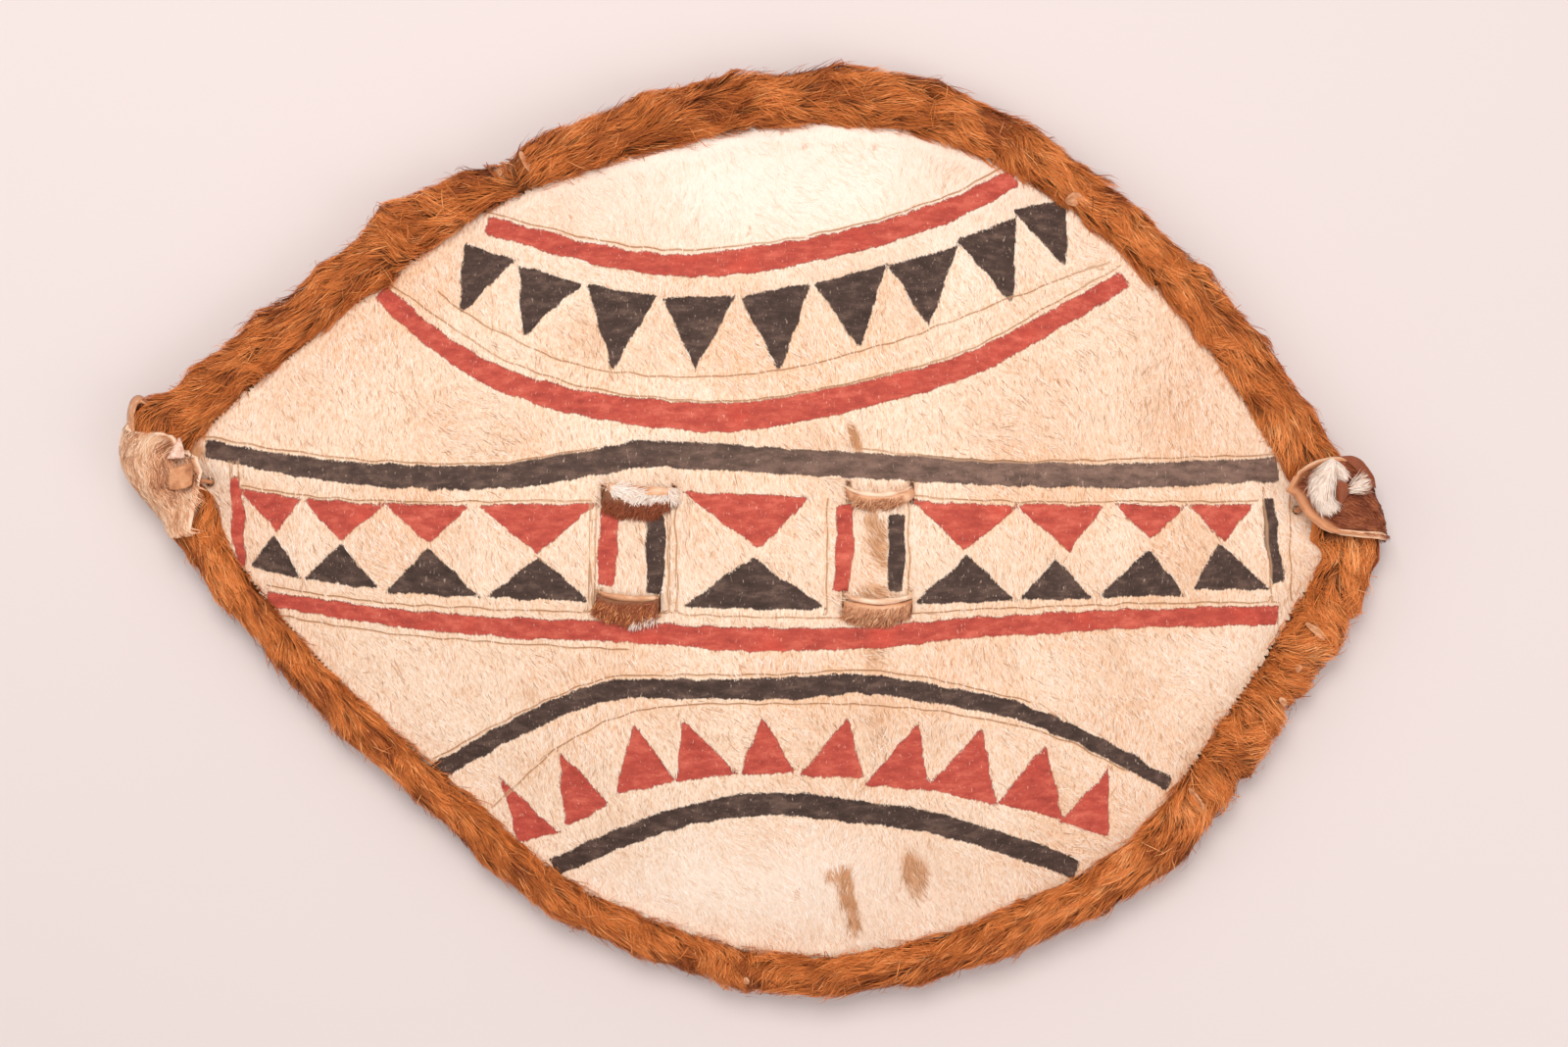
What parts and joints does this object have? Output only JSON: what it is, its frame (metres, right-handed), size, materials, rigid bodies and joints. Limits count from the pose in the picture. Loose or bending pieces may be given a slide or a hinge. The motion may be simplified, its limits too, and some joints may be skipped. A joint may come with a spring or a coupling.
{
  "type": "hide shield",
  "caption": "Lens-shaped shield of painted hair-on hide in a rolled rim of brown goat fur, with hide caps at its tips, thong lashings and a wooden grip stave behind.",
  "frame": {"origin": "under the middle of the shield, on the surface it lies on", "axes": "+X to the right along the face, +Y up the face, +Z out of the face"},
  "size_m": [0.6842, 0.5038, 0.0666],
  "materials": {
    "painted_hide": "short cream hair, painted in dull red and black, matt",
    "goat_fur": "orange-brown goat hair",
    "pale_hide": "pale short-haired hide",
    "dark_hide": "dark brown short-haired hide",
    "thong": "raw hide thong with scraps of hair",
    "white_fur": "white goat hair",
    "wood": "peeled stick, worn smooth"
  },
  "bodies": {
    "root": {"hide_face": "painted_hide", "rim_upper_left": "goat_fur", "rim_top": "goat_fur", "rim_upper_right": "goat_fur", "rim_lower_right": "goat_fur", "rim_bottom": "goat_fur", "left_cap": "pale_hide", "right_cap": "dark_hide", "left_tie": "thong", "right_tie": "white_fur", "left_lashing": "thong", "right_lashing": "thong", "stave": "wood"}
  },
  "joints": []
}
